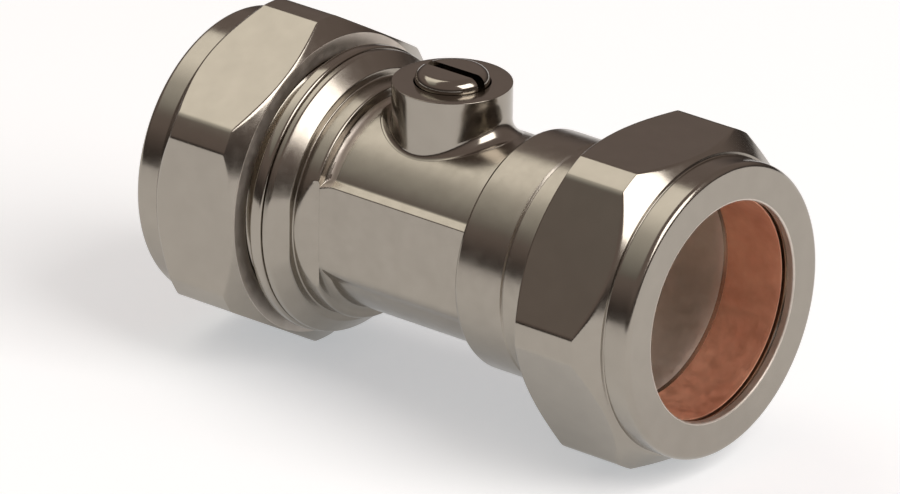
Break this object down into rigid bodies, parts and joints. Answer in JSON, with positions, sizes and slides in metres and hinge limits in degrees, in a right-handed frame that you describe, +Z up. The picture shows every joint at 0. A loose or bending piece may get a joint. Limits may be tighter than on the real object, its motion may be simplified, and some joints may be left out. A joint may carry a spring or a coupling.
{
  "type": "isolating valve",
  "caption": "Inline quarter-turn ball isolating valve with a slotted spindle on a round boss and a compression nut and olive at each end for copper pipe.",
  "frame": {"origin": "on the pipe axis, midway between the outer faces of the two nuts", "axes": "+X along the pipe, from the inlet with the tail piece to the outlet; +Z up the spindle"},
  "size_m": [0.062, 0.0344, 0.0344],
  "materials": {
    "plated_brass": "polished nickel plate on brass",
    "ball_plating": "bright hard chrome",
    "copper": "satin copper",
    "white_ptfe": "waxy",
    "black_rubber": "greased"
  },
  "bodies": {
    "valve_body": {"valve_body": "plated_brass", "tail_piece": "plated_brass", "inlet_seat": "white_ptfe", "outlet_seat": "white_ptfe", "thrust_washer": "white_ptfe", "inlet_olive": "copper", "outlet_olive": "copper"},
    "spindle": {"spindle": "plated_brass", "upper_oring": "black_rubber", "lower_oring": "black_rubber", "ball": "ball_plating"},
    "inlet_nut": {"inlet_nut": "plated_brass"},
    "outlet_nut": {"outlet_nut": "plated_brass"}
  },
  "joints": [
    {"name": "spindle_turn", "type": "hinge", "parent": "valve_body", "child": "spindle", "pos_m": [-0.00295, 0, 0], "axis": [0, 0, 1], "continuous": true},
    {"name": "inlet_nut_turn", "type": "hinge", "parent": "valve_body", "child": "inlet_nut", "pos_m": [-0.0244, 0, 0], "axis": [1, 0, 0], "continuous": true},
    {"name": "outlet_nut_turn", "type": "hinge", "parent": "valve_body", "child": "outlet_nut", "pos_m": [0.0244, 0, 0], "axis": [1, 0, 0], "continuous": true}
  ]
}
